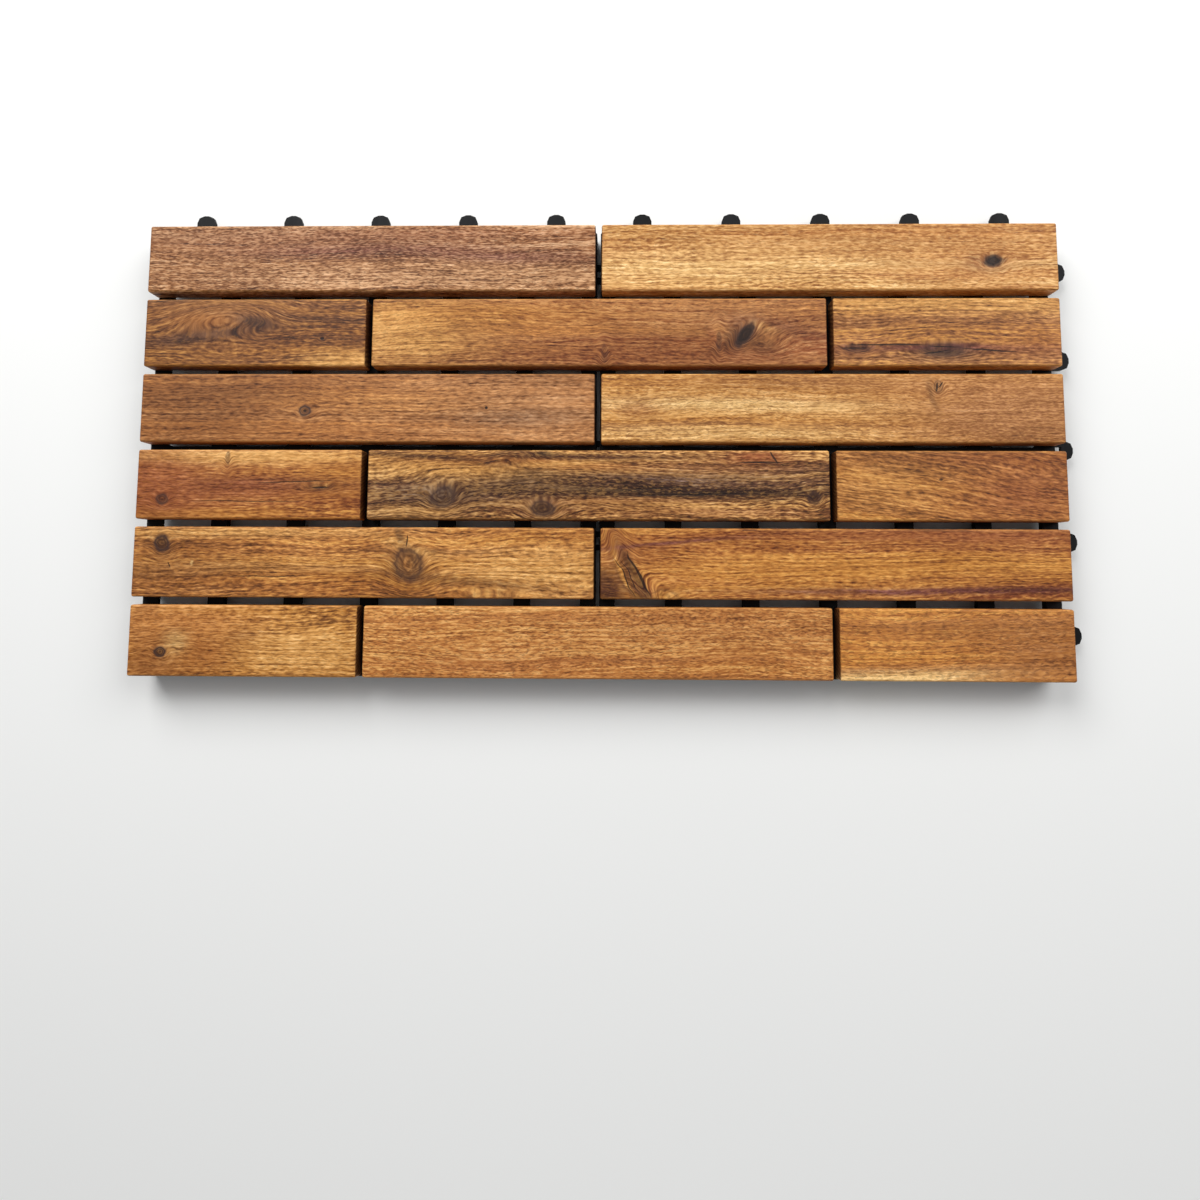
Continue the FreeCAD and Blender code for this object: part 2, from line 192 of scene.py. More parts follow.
class BaseSettings(bpy.types.PropertyGroup):
    """Colour and surface of the moulded bases."""

    colour: shade("Colour", "Colour of the moulded plastic", "#0f1012")
    dust: shade("Dust", "Colour of rubbed and dusty places", "#2a2b2e")
    edge_round: length("Edge round", "Radius of the moulding's edges", 0.3)
    grain_depth: length("Grain depth", "Depth of the mould's fine grain", 0.06)
    roughness: share("Roughness", "Roughness of the moulded face", 0.55)


class ScrewSettings(bpy.types.PropertyGroup):
    """Sizes and colours of the screws under the boards."""

    recess_width: length("Recess width", "Cross recess, from tip to tip", 3.6)
    recess_depth: length("Recess depth", "Depth of the cross recess", 1.2)
    thread_pitch: length("Thread pitch", "Distance between the turns of the thread", 1.4)
    line_depth: length("Line depth", "Depth of the drawn lines", 0.02)
    colour: shade("Colour", "Colour of the plated steel", "#b3b3ad")
    tarnish: shade("Tarnish", "Colour of the tarnished steel", "#6d675a")


class StudioSettings(bpy.types.PropertyGroup):
    """Floor, light and camera."""

    floor_colour: shade("Floor colour", "Colour of the studio floor", "#f1f1ef")
    key_power: power("Key power", "Power of the main soft light", 33.0)
    fill_power: power("Fill power", "Power of the second soft light", 21.0)
    front_power: power("Front power", "Power of the faint light from the front", 2.5)
    sky: share("Sky", "Strength of the even light all round", 0.24, most=5)
    lens_pixels: bpy.props.FloatProperty(
        name="Lens", description="Focal length in pixels of the square image",
        default=758.4, min=100,
    )


class Reading:
    """A socket that can stand in plain arithmetic."""

    def __init__(self, finish, socket):
        self.finish = finish
        self.socket = socket

    def __add__(self, other):
        return self.finish.maths("ADD", self, other)

    __radd__ = __add__

    def __mul__(self, other):
        return self.finish.maths("MULTIPLY", self, other)

    __rmul__ = __mul__

    def __sub__(self, other):
        return self.finish.maths("SUBTRACT", self, other)

    def __rsub__(self, other):
        return self.finish.maths("SUBTRACT", other, self)

    def __truediv__(self, other):
        return self.finish.maths("DIVIDE", self, other)

    def __rtruediv__(self, other):
        return self.finish.maths("DIVIDE", other, self)

    def __neg__(self):
        return self * -1

    def size(self):
        return self.finish.maths("ABSOLUTE", self)

    def root(self):
        return self.finish.maths("SQRT", self)

    def swing(self):
        """The sine of the reading, brought between 0 and 1."""
        return self.finish.maths("SINE", self) * 0.5 + 0.5

    def fading(self, rate):
        """1 where the reading is nought, fading at a rate as it grows."""
        return self.finish.maths("EXPONENT", self * -rate)

    def rise(self, low, high):
        """0 at low, 1 at high and smooth between them, whichever of the two is larger."""
        return self.finish.read(
            "ShaderNodeMapRange",
            {"interpolation_type": "SMOOTHSTEP"},
            {"Value": self, "From Min": low, "From Max": high, "To Min": 0.0, "To Max": 1.0},
        )


class Finish:
    """A material under construction."""

    def __init__(self, name):
        self.material = bpy.data.materials.new(name)
        self.material.use_nodes = True
        self.tree = self.material.node_tree
        self.tree.nodes.clear()

    def node(self, kind, settings=None, inputs=None):
        """Adds a node, with its settings first and then what its sockets hold."""
        node = self.tree.nodes.new(kind)
        for key, setting in (settings or {}).items():
            if key == "stops":
                ramp = node.color_ramp.elements
                while len(ramp) < len(setting):
                    ramp.new(1.0)
                for element, (place, colour) in zip(ramp, setting):
                    element.position = place
                    element.color = (*colour, 1.0)
            else:
                setattr(node, key, setting)
        for key, held in (inputs or {}).items():
            if isinstance(held, Reading):
                held = held.socket
            if isinstance(held, bpy.types.NodeSocket):
                self.tree.links.new(held, node.inputs[key])
            else:
                node.inputs[key].default_value = held
        return node

    def read(self, kind, settings=None, inputs=None, output=0):
        return Reading(self, self.node(kind, settings, inputs).outputs[output])

    def maths(self, operation, *values):
        return self.read("ShaderNodeMath", {"operation": operation}, dict(enumerate(values)))

    def place_mm(self, centre=(0, 0, 0)):
        """Object coordinates in millimetres from a centre, as three readings."""
        coordinates = self.node("ShaderNodeTexCoord")
        moved = self.node(
            "ShaderNodeMapping",
            None,
            {
                "Vector": coordinates.outputs["Object"],
                "Location": [-metres / MILLIMETRE for metres in centre],
                "Scale": [1 / MILLIMETRE] * 3,
            },
        )
        parts = self.node("ShaderNodeSeparateXYZ", None, {0: moved.outputs[0]})
        return [Reading(self, socket) for socket in parts.outputs]

    def noise(self, x, y, z, detail=2.0, roughness=0.5, distortion=0.0):
        spot = self.node("ShaderNodeCombineXYZ", None, {0: x, 1: y, 2: z})
        return self.read(
            "ShaderNodeTexNoise",
            {"noise_dimensions": "3D"},
            {
                "Vector": spot.outputs[0],
                "Scale": 1.0,
                "Detail": detail,
                "Roughness": roughness,
                "Distortion": distortion,
            },
        )

    def level_spot(self, x, y):
        """A spot on the board's face as one vector socket."""
        return self.node("ShaderNodeCombineXYZ", None, {0: x, 1: y}).outputs[0]

    def oval(self, where, across, up, long, wide, turn):
        """Squared distance from a spot, in half lengths and half widths of an oval."""
        own = self.node(
            "ShaderNodeMapping",
            {"vector_type": "TEXTURE"},
            {
                "Vector": where,
                "Location": (across, up, 0),
                "Rotation": (0, 0, math.radians(turn)),
                "Scale": (long, wide, 1),
            },
        ).outputs[0]
        return self.read(
            "ShaderNodeVectorMath", {"operation": "DOT_PRODUCT"}, {0: own, 1: own}, output=1
        )

    def brighten(self, colour, change, lift):
        """A colour made lighter or darker, and warmer as it darkens."""
        warm = self.node("ShaderNodeGamma", None, {0: colour, 1: change * -0.4 + 1.0}).outputs[0]
        return self.node(
            "ShaderNodeVectorMath", {"operation": "SCALE"}, {0: warm, "Scale": change * 0.7 + lift}
        ).outputs[0]

    def blend(self, first, second, factor):
        """The first colour, covered by the second as far as the factor says."""
        first, second = (
            (*held, 1.0) if isinstance(held, tuple) else held for held in (first, second)
        )
        mixed = self.node(
            "ShaderNodeMix",
            {"data_type": "RGBA", "blend_type": "MIX", "clamp_factor": True},
            {0: factor, 6: first, 7: second},
        )
        return mixed.outputs[2]

    def surface(self, inputs, height=None, depth=0.0, strength=1.0):
        """Ends the tree in a Principled shader, with a bump if there is a height."""
        if height is not None:
            bump = self.node(
                "ShaderNodeBump", None, {"Strength": strength, "Distance": depth, "Height": height}
            )
            inputs = {**inputs, "Normal": bump.outputs[0]}
        shader = self.node("ShaderNodeBsdfPrincipled", None, inputs)
        self.node("ShaderNodeOutputMaterial", None, {"Surface": shader.outputs[0]})
        return self.material


# What a board's figure has unless its own entry says otherwise: the tone of its pores,
# how far the grain sways and slopes, how deep the play of light along the grain is, how
# bright the board is, and its knots, patches and cracks.
PLAIN_FIGURE = {
    "fleck": "umber", "sway": 8, "slope": 0, "depth": 1.0, "lift": 1.01,
    "knots": (), "patches": (), "cracks": (),
}

# Each board's figure, in millimetres from its middle: x to the right, y to the back. Its
# tones go from dark to light, contrast is how far the grain spreads them, and pores is
# how strong the pores are. A knot is x, y, half length, half width, turn in degrees, pull
# on the grain, and how dark its heart and its rim are. A patch is x, y, half length, half
# width, turn, tone and strength. A crack is x, y, half length, half width and turn.
BOARDS = {
    "row1_left": {
        "tones": ("chestnut", "tan", "sand"), "pores": 1.0, "contrast": 1.3,
        "patches": (
            (-15, 5, 70, 4.5, 0, "rosewood", 0.6), (95, 1, 60, 5, -3, "rosewood", 0.6),
            (-60, 14, 90, 6, 0, "chestnut", 0.4), (60, -13, 120, 8, 0, "sand", 0.4),
            (-115, 2, 50, 20, 0, "chestnut", 0.35), (60, 17, 110, 4, 0, "rust", 0.35),
            (0, 13, 140, 8, 0, "rosewood", 0.2),
        ),
    },
    "row1_right": {
        "tones": ("amber", "honey", "straw"), "fleck": "chestnut", "pores": 0.8, "contrast": 1.0,
        "knots": ((106, -3, 5.5, 3.8, 0, 5, 1.0, 0.5),),
        "patches": (
            (102, -4, 10, 4.5, 0, "rosewood", 0.7), (0, 4, 90, 10, 0, "amber", 0.2),
            (-70, 9, 90, 5, 0, "amber", 0.25), (-80, -6, 110, 12, 0, "straw", 0.4),
            (104, 12, 3, 8, 0, "gold", 0.4), (104, -3, 11, 7, 0, "smoke", 0.35),
            (100, 0, 60, 30, 0, "amber", 0.4), (0, 17, 150, 8, 0, "amber", 0.35),
        ),
    },
    "row2_left": {
        "tones": ("umber", "chestnut", "gold"), "pores": 0.5, "contrast": 0.75,
        "knots": ((-22, 12, 24, 8, 4, -20, 0.0, 0.0), (45, -4, 1.4, 1.0, 0, 1, 1.0, 0.3),
                  (0, 6.5, 9, 4.5, -14, 0, 0.3, 0.0)),
        "patches": (
            (-30, 9, 22, 4.5, 0, "amber", 0.8), (-2, 6.5, 10, 5, -14, "smoke", 1.1),
            (-36, -3, 26, 3.2, 8, "smoke", 1.0), (-62, -4, 34, 26, 0, "umber", 0.25),
            (0, 0, 50, 26, 0, "chestnut", 0.35),
            (62, -19, 24, 5, 0, "honey", 0.95), (45, 8, 40, 6, 0, "smoke", 0.15),
            (-40, 17, 50, 5, 0, "chestnut", 0.5),
        ),
    },
    "row2_middle": {
        "tones": ("rust", "tan", "amber"), "pores": 0.65, "contrast": 1.1,
        "knots": ((95, -2, 8.5, 3.6, 52, 12, 0.95, 0.8), (78, -6, 1.6, 6, 0, 2, 0.4, 0.3),
                  (108, -10, 10, 8, 0, 9, 0.0, 0.0), (4, -14, 2, 5, 0, 3, 0.15, 0.2)),
        "patches": (
            (-130, 0, 40, 26, 0, "honey", 0.85), (-70, 12, 90, 8, 0, "gold", 0.5),
            (95, -2, 12, 6, 50, "smoke", 0.9), (85, -9, 12, 2.5, 24, "umber", 1.1),
            (107, -10, 10, 5, -14, "umber", 0.8), (77, -3, 1.5, 6, 0, "umber", 0.8),
            (118, 4, 26, 4, -14, "rosewood", 0.5), (60, -16, 90, 6, 0, "rust", 0.4),
            (78, -3, 3, 6, 0, "rust", 0.8), (70, 4, 60, 22, 0, "chestnut", 0.35),
            (110, 4, 6, 2.5, -20, "honey", 0.35),
        ),
    },
    "row2_right": {
        "tones": ("chestnut", "tan", "gold"), "pores": 0.6, "contrast": 1.2,
        "knots": ((-3, -12, 13, 4.2, 0, 5, 0.55, 0.45), (-58, -11, 8, 2.6, 0, 4, 0.5, 0.45)),
        "patches": (
            (0, 18, 90, 5, 0, "honey", 0.9), (0, -12, 18, 5, 0, "smoke", 0.7),
            (-8, -10, 45, 2.2, 0, "rosewood", 0.8), (60, -8, 30, 8, 0, "rust", 0.4),
            (-40, 4, 60, 4, 0, "chestnut", 0.35), (-56, -11, 14, 4, 0, "rosewood", 0.6),
        ),
        "cracks": (
            (-38, -8.6, 26, 0.6, 0), (26, -12.4, 18, 0.55, -3), (-60, -11, 9, 0.5, 0),
            (-8, -13.6, 9, 0.5, 8), (-2, -10, 10, 0.4, -4),
        ),
    },
    "row3_left": {
        "tones": ("chestnut", "tan", "amber"), "pores": 0.55, "contrast": 0.8,
        "knots": ((-40, -2, 3.4, 3.2, 0, 2, 0.0, 1.0), (-40, -2, 1.4, 1.2, 0, 0, 0.9, 0.0),
                  (78, 0, 1.0, 1.0, 0, 0.6, 1.0, 0.0)),
        "patches": (
            (100, -6, 34, 6, 0, "smoke", 0.35), (-90, 10, 50, 7, 0, "chestnut", 0.5),
            (-60, -16, 90, 6, 0, "amber", 0.35), (-110, -2, 45, 22, 0, "umber", 0.25),
            (110, 8, 60, 16, 0, "sand", 0.2), (20, 4, 60, 8, 0, "gold", 0.15),
        ),
    },
    "row3_right": {
        "tones": ("tan", "gold", "honey"), "fleck": "chestnut", "pores": 1.0, "contrast": 1.1,
        "knots": ((68, 14, 2.5, 4, 0, 5, 0.0, 0.3), (-125, -1, 9, 8, 0, 3, 0.0, 0.0)),
        "cracks": ((67, 13.5, 0.7, 3.4, -12), (69.5, 15, 0.5, 2.4, -40)),
        "patches": (
            (-60, 2, 100, 4.5, -1, "straw", 0.85), (90, -2, 80, 3.5, 0, "honey", 0.6),
            (30, 17, 150, 7, 0, "chestnut", 0.55), (-125, -1, 12, 7, 0, "tan", 0.5),
            (115, 0, 60, 26, 0, "amber", 0.5),
            (-70, -17, 90, 5, 0, "straw", 0.5), (120, -6, 60, 20, 0, "tan", 1.0),
            (68, 10, 2, 10, 0, "umber", 0.5),
        ),
    },
    "row4_left": {
        "tones": ("rust", "amber", "gold"), "pores": 0.5, "contrast": 1.3,
        "knots": ((-56, -10, 3.6, 3, 0, 5, 0.4, 0.7), (46, -2, 7, 2, 0, 3, 0.0, 0.1),
                  (-14, 17, 1.4, 4, 0, 3, 0.4, 0.3)),
        "patches": (
            (-10, 18.5, 90, 4.5, 0, "honey", 1.0), (25, 0, 50, 3.5, 0, "rosewood", 0.9),
            (-10, -2, 90, 9, 0, "rust", 0.55), (46, -2, 9, 2, 0, "umber", 0.8),
            (-20, -5, 60, 4, 0, "rust", 0.5), (-50, 0, 26, 6, 0, "umber", 0.7),
            (-55, -10, 9, 6, 0, "rosewood", 0.5), (-40, -19, 60, 3, 0, "gold", 0.6),
            (-60, 0, 34, 20, 0, "rust", 0.9), (60, 6, 26, 10, 0, "gold", 0.4),
        ),
        "cracks": ((0, -11, 38, 0.3, 0), (30, 1.5, 26, 0.35, 2), (47, -2, 5, 0.7, 0)),
    },
    "row4_middle": {
        "tones": ("umber", "chestnut", "honey"), "pores": 0.6, "contrast": 1.3,
        "sway": 13, "depth": 1.2,
        "knots": (
            (-99, -8, 8, 6, 20, 8, 0.35, 0.7), (-35, -15, 7, 5, 0, 6, 0.6, 0.7),
            (-58, 17, 14, 5, 12, -7, 0.0, 0.2), (138, -8, 4, 4, 0, 4, 0.5, 0.5),
        ),
        "patches": (
            (-110, -8, 50, 12, 0, "smoke", 0.55), (-54, 5, 16, 6, 0, "smoke", 0.85),
            (30, 2, 120, 8, 2, "smoke", 0.6), (70, -5, 90, 3.5, 0, "ink", 0.75),
            (-35, -15, 16, 8, 0, "umber", 0.6), (-112, 11, 50, 5, -4, "honey", 0.8),
            (-50, 14, 60, 3, -2, "amber", 0.8),
            (-110, 17, 40, 1.4, -4, "umber", 0.7), (-30, 13, 50, 2, 4, "honey", 0.6),
            (0, 18, 60, 1.6, 0, "umber", 0.8), (85, 13, 50, 5, 0, "tan", 0.45),
            (60, -18, 90, 3, 0, "tan", 0.5), (104, 18.5, 16, 4, 0, "rust", 0.9),
            (-120, -18, 24, 4, 0, "honey", 0.4), (10, -11, 50, 2, 1, "tan", 0.5),
            (-35, 20, 6, 2, 0, "ink", 0.7),
        ),
        "cracks": (
            (104, 14.6, 15, 0.7, 0), (113, 18, 0.8, 4.5, 25), (60, -6, 40, 0.5, 1),
            (40, -2, 26, 0.4, 3),
        ),
    },
    "row4_right": {
        "tones": ("chestnut", "amber", "gold"), "pores": 0.6, "contrast": 1.0, "slope": 0.12,
        "knots": ((-7, 4, 1.3, 1.0, 0, 1, 0.8, 0.0),),
        "patches": (
            (-50, 3, 40, 20, 0, "honey", 0.35), (50, -6, 36, 18, 0, "rust", 0.6),
            (10, 17, 70, 5, 0, "rust", 0.35),
        ),
    },
    "row5_left": {
        "tones": ("chestnut", "amber", "gold"), "pores": 0.6, "contrast": 1.2, "sway": 10,
        "knots": (
            (-129, 12, 4.5, 5, 30, 4, 0.5, 0.9), (30, -1, 8.5, 10, 24, 10, 0.2, 0.6),
            (82, -24, 14, 6, 0, 5, 0.0, 0.15),
        ),
        "patches": (
            (29, -2, 14, 12, 0, "umber", 0.45), (28, 17, 2.5, 8, 0, "umber", 0.75),
            (-129, 12, 8, 8, 0, "umber", 0.5), (-60, -2, 90, 5, 0, "honey", 0.35),
            (120, -4, 50, 12, 0, "honey", 0.75), (70, -12, 60, 3, -4, "umber", 0.4),
            (-120, -4, 40, 16, 0, "chestnut", 0.35),
            (-90, 19, 90, 3, 0, "honey", 0.5), (40, 8, 30, 2.5, -18, "honey", 0.5),
            (-109, -1, 0.6, 1.1, -20, "straw", 1.0), (30, -1, 4, 5, 24, "amber", 0.5),
        ),
        "cracks": ((-124, -2, 0.4, 2.2, 15), (-60, -9, 30, 0.3, 1), (29, 14, 0.5, 4, 0)),
    },
    "row5_right": {
        "tones": ("rust", "amber", "gold"), "pores": 0.5, "contrast": 1.2,
        "knots": ((-125.5, -6.7, 18, 2.8, -61, 2, 0.6, 0.3), (-108, -23, 11, 7, 0, 5, 0.0, 0.15)),
        "patches": (
            (-126, -8, 19, 3.8, -62, "umber", 1.3), (-141, -13, 10, 9, 0, "umber", 1.3),
            (-118, 6, 26, 10, 0, "rust", 0.35), (-100, 13.5, 48, 1.2, 5, "rosewood", 0.8),
            (-10, -8, 60, 8, 0, "gold", 0.4),
            (-129, -5, 15, 1.0, -62, "gold", 0.6),
            (80, -16.5, 110, 1.8, 0, "rosewood", 0.9), (30, 0, 120, 6, 0, "gold", 0.45),
            (60, 17, 110, 4, 0, "rust", 0.5), (100, 20, 60, 3, 0, "rust", 0.5),
        ),
        "cracks": (
            (-123.4, -7, 17, 0.8, -62), (-128.5, -8.5, 13, 0.3, -62), (-132, -8.5, 14.5, 0.4, -64),
        ),
    },
    "row6_left": {
        "tones": ("chestnut", "gold", "honey"), "pores": 0.6, "contrast": 1.1,
        "knots": ((-52, -7, 3.6, 3.0, 0, 4, 0.6, 1.0),),
        "patches": (
            (-60, 8, 22, 7, 80, "chestnut", 1.2), (-58, -16, 16, 6, 0, "chestnut", 0.9),
            (-25, -8, 14, 10, 0, "amber", 0.9), (-30, 8, 40, 16, 0, "amber", 0.7),
            (-60, 0, 30, 30, 0, "amber", 0.4),
            (-45, -1, 8, 5, 45, "straw", 0.55), (45, -8, 40, 14, 0, "honey", 0.6),
            (-30, 14, 30, 6, 0, "amber", 0.6), (5, 4, 10, 3, 10, "chestnut", 0.4),
        ),
    },
    "row6_middle": {
        "tones": ("tan", "amber", "honey"), "pores": 0.9, "contrast": 0.8,
        "lift": 1.16, "depth": 0.7,
        "patches": ((-60, -12, 60, 8, 0, "rust", 0.3), (60, 8, 120, 14, 0, "tan", 0.35)),
    },
    "row6_right": {
        "tones": ("tan", "amber", "gold"), "pores": 0.8, "contrast": 0.9,
        "lift": 1.12, "depth": 0.8,
        "patches": (
            (-40, -20, 50, 3.5, 2, "straw", 0.9), (20, 10, 60, 6, 0, "chestnut", 0.35),
            (50, -4, 30, 16, 0, "tan", 0.6),
        ),
    },
}


class Acacia(Finish):
    """Oiled acacia with the figure of one board.

    The sway, the ripple and the wobble are its large, middling and small unevenness. The
    level is how high a point lies in the run of the grain, and the fine and the hair are
    streaks along it. The hollow is how far a point is sunk in a knot's heart or a crack.
    """

    def __init__(self, name, seed, low, high, settings):
        super().__init__(f"acacia_{name}")
        self.figure = {**PLAIN_FIGURE, **BOARDS[name]}
        self.seed = seed
        self.settings = settings
        self.half_length, self.half_width, self.half_thick = (high - low) / 2 / MILLIMETRE
        self.x, self.y, self.z = self.place_mm((low + high) / 2)

    def tone(self, key):
        return tuple(getattr(self.settings, key))

    def paint(self, key, factor):
        """Lays a tone over the colour so far."""
        self.colour = self.blend(self.colour, self.tone(key), factor)

    def drift(self, along, across, seed, detail=1, roughness=0.5):
        """A slow change about nought, so many millimetres long and wide."""
        x, y, z = self.x / along, self.y / across, self.z / across + seed
        return self.noise(x, y, z, detail, roughness) - 0.5

    def streaks(self, along, across, layer, detail=1, roughness=0.5):
        """Streaks that follow the grain, so many millimetres long and wide."""
        return self.noise(self.x / along, self.level / across, layer, detail, roughness)

    def run_grain(self):
        """Finds each point's level in the grain, which sways and bends round the knots."""
        self.sway = self.drift(150, 42, self.seed)
        self.ripple = self.drift(26, 9, -self.seed)
        self.wobble = self.drift(3.4, 3.4, self.seed, detail=2, roughness=0.6)
        self.level = (
            self.y + self.z * GRAIN_LEAN + self.sway * self.figure["sway"] * 2 + self.ripple * 1.8
        )
        if self.figure["slope"]:
            self.level = self.level + self.x * self.figure["slope"]
        self.knots = []
        spot = self.level_spot(self.x + self.ripple * 2, self.y + self.ripple)
        ragged = self.wobble * KNOT_RAGGED
        for across, up, long, wide, turn, pull, heart, rim in self.figure["knots"]:
            apart = self.oval(spot, across, up, long, wide, turn)
            self.level = self.level + apart.fading(0.5) * pull
            if heart or rim:
                self.level = self.level - (self.y - up) * apart.fading(0.25) * 0.7
                roundness = min(1.0, 1.7 * wide / long)
                self.knots.append((apart.root() + ragged, heart, rim, roundness))

    def lay_tones(self):
        """Lays the board's three tones along broad, fine and hair-thin streaks."""
        broad = self.streaks(330, 8, self.seed * 1.3, detail=2, roughness=0.55)
        self.fine = self.streaks(80, 1.5, self.seed * 0.7, detail=3, roughness=0.65)
        self.hair = self.noise(
            self.x / 5, self.level / 1.05 + self.wobble, self.z / 0.9 + self.seed, detail=1
        )
        grain = broad * 0.38 + self.fine * 0.32 + self.hair * 0.3
        spread = (grain - 0.5) * self.figure["contrast"] * TONE_SPREAD + 0.5
        stops = list(zip(TONE_STOPS, map(self.tone, self.figure["tones"])))
        self.colour = self.node("ShaderNodeValToRGB", {"stops": stops}, {0: spread}).outputs[0]

    def lay_patches(self):
        """Lays streaky patches of other tones over the board."""
        spot = self.level_spot(
            self.x + self.sway * 30 + self.wobble * 3,
            self.y + self.sway * 5 + self.ripple * 2 + self.wobble * 1.2,
        )
        streaky = self.fine * 1.5 + self.hair * 0.5 - 0.1
        for *oval, key, strength in self.figure["patches"]:
            patch = self.oval(spot, *oval).fading(0.7)
            self.paint(key, patch * streaky * (strength * 1.4))

    def light_grain(self):
        """Draws the fine dark lines and the play of light along the grain."""
        lines = (self.fine * 0.6 + self.hair * 0.4).rise(0.43, 0.3)
        self.paint(self.figure["fleck"], lines * 0.4)
        shimmer = self.streaks(7, 15, self.seed * 2.1)
        change = (
            (self.fine - 0.5) * 1.7 + (self.hair - 0.5) * 1.4 + (shimmer - 0.5) * 0.3
            + self.sway + self.ripple * 0.4
        )
        self.colour = self.brighten(
            self.colour, change * self.figure["depth"], self.figure["lift"]
        )

    def open_pores(self):
        """Draws the open pores and the pale fibres between them."""
        flecks = self.noise(
            self.x / 3, self.level * 1.2 + self.wobble * 1.5, self.z * 1.2 + self.seed,
            detail=1, distortion=0.3,
        )
        reach = self.streaks(55, 10, self.seed + 9.0)
        strength = self.figure["pores"]
        self.pores = flecks.rise(0.49, 0.64) * (reach.rise(0.2, 0.55) * 0.6 + 0.4) * strength
        self.paint(self.figure["fleck"], self.pores * 0.55)
        self.paint(self.figure["tones"][-1], flecks.rise(0.48, 0.34) * (0.35 * strength))

    def draw_knots(self):
        """Draws each knot's rings, its dark rim and its sunken heart."""
        self.hollow = self.wobble * 0.1
        for radius, heart, rim, roundness in self.knots:
            rings = (radius * KNOT_RINGS + self.ripple * 3).swing() * radius.rise(1.25, 0.85)
            self.paint("umber", rings * ((0.35 + 0.35 * rim) * roundness))
            from_rim = radius - KNOT_RIM
            self.paint("smoke", (from_rim * from_rim).fading(10) * (0.9 * rim))
            if heart:
                core = radius.rise(0.9 + 0.35 * heart, 0.25 + 0.35 * heart)
                self.paint("ink", core * (0.95 * heart))
                self.hollow = self.hollow + core * (0.6 * heart)

    def draw_cracks(self):
        """Draws the cracks, sunken and darkened with painted shade, with their edges bent by the
        grain.
        """
        spot = self.level_spot(
            self.x + self.ripple * 4, self.y + self.ripple * 1.6 + self.wobble * 0.8
        )
        for crack in self.figure["cracks"]:
            shaded_split = self.oval(spot, *crack).rise(1.3, 0.5)
            # Painted shade: each crack is darkened where shade falls inside the split.
            self.paint("ink", shaded_split * 0.85)
            self.hollow = self.hollow + shaded_split

    def tint_faces_shade_and_highlight(self):
        """Darkens the end grain, partly as painted shade, and the underside, and paints a highlight
        along the long top edges.
        """
        # The dark of the ends is partly the end grain's own tone and partly painted shade.
        end = self.x.size().rise(self.half_length - SKIN, self.half_length)
        rings = (self.level * END_RINGS + self.sway * 9).swing()
        self.paint("umber", end * (rings * 0.2 + 0.75))
        under = (-self.z).rise(self.half_thick - SKIN, self.half_thick)
        self.paint("tan", under * 0.35)
        # Painted highlight: the long top edges are lightened where light catches their rounding.
        side = self.y.size().rise(*(self.half_width - inset for inset in HIGHLIGHT_SIDE))
        top = self.z.rise(*(self.half_thick - inset for inset in HIGHLIGHT_TOP))
        self.paint("honey", side * top * 0.15)

    def finished(self):
        """Builds the wood from the run of its grain to its painted edge highlights."""
        self.run_grain()
        self.lay_tones()
        self.lay_patches()
        self.light_grain()
        self.open_pores()
        self.draw_knots()
        self.draw_cracks()
        self.tint_faces_shade_and_highlight()
        return self.surface(
            {
                "Base Color": self.colour,
                "Roughness": (self.fine - 0.5) * 0.3 + self.pores * 0.2 + self.settings.roughness,
                "Specular IOR Level": 0.2,
                "Coat Weight": self.settings.oil_sheen,
                "Coat Roughness": 0.35,
            },
            height=self.hair * 0.4 - self.pores * 0.7 - self.hollow,
            depth=self.settings.pore_depth,
            strength=0.5,
        )


def moulded_plastic(settings):
    """Black moulded plastic with a fine mould grain, rubs and dust."""
    finish = Finish("moulded_plastic")
    x, y, z = finish.place_mm()
    cloud = finish.noise(x / 46, y / 46, z / 20, detail=3, roughness=0.6)
    flow = finish.noise(x / 5, y / 60, z / 3, detail=3)
    grain = finish.noise(x * 3, y * 3, z * 3, detail=2, roughness=0.7)
    rub = finish.noise(x / 1.5, y / 9, z / 1.5, detail=3, roughness=0.7).rise(0.6, 0.74)
    dust = cloud.rise(0.45, 0.75) * 0.35 + rub * cloud * 0.5
    return finish.surface(
        {
            "Base Color": finish.blend(tuple(settings.colour), tuple(settings.dust), dust),
            "Roughness": (flow - 0.5) * 0.3 + rub * 0.12 + settings.roughness,
            "Specular IOR Level": 0.15,
        },
        height=grain * 0.6 + flow * 0.4,
        depth=settings.grain_depth,
        strength=0.6,
    )


def plated_steel(settings):
    """Zinc plated screw steel with drawn lines and a little tarnish."""
    finish = Finish("plated_steel")
    x, y, z = finish.place_mm()
    tarnish = finish.noise(x / 3, y / 3, z / 3, detail=4, roughness=0.65)
    drawn = finish.noise(x * 2, y * 2, z * 14, detail=2)
    colour = finish.blend(
        tuple(settings.colour), tuple(settings.tarnish), tarnish.rise(0.48, 0.72) * 0.6
    )
    return finish.surface(
        {
            "Base Color": colour,
            "Metallic": 1.0,
            "Roughness": tarnish * 0.3 + drawn * 0.12 + 0.14,
        },
        height=drawn,
        depth=settings.line_depth,
        strength=0.4,
    )


def studio_paint(settings):
    """Plain pale floor paint, barely mottled."""
    finish = Finish("studio_paint")
    x, y, z = finish.place_mm()
    mottle = finish.noise(x / 400, y / 400, z, detail=2)
    pale = tuple(settings.floor_colour)
    faint = tuple(channel * 0.985 for channel in pale)
    return finish.surface({"Base Color": finish.blend(pale, faint, mottle), "Roughness": 0.65})


def finished_mesh(form, name):
    """Turns the form's faces outwards and makes it a mesh."""
    bmesh.ops.recalc_face_normals(form, faces=form.faces)
    mesh = bpy.data.meshes.new(name)
    form.to_mesh(mesh)
    form.free()
    return mesh


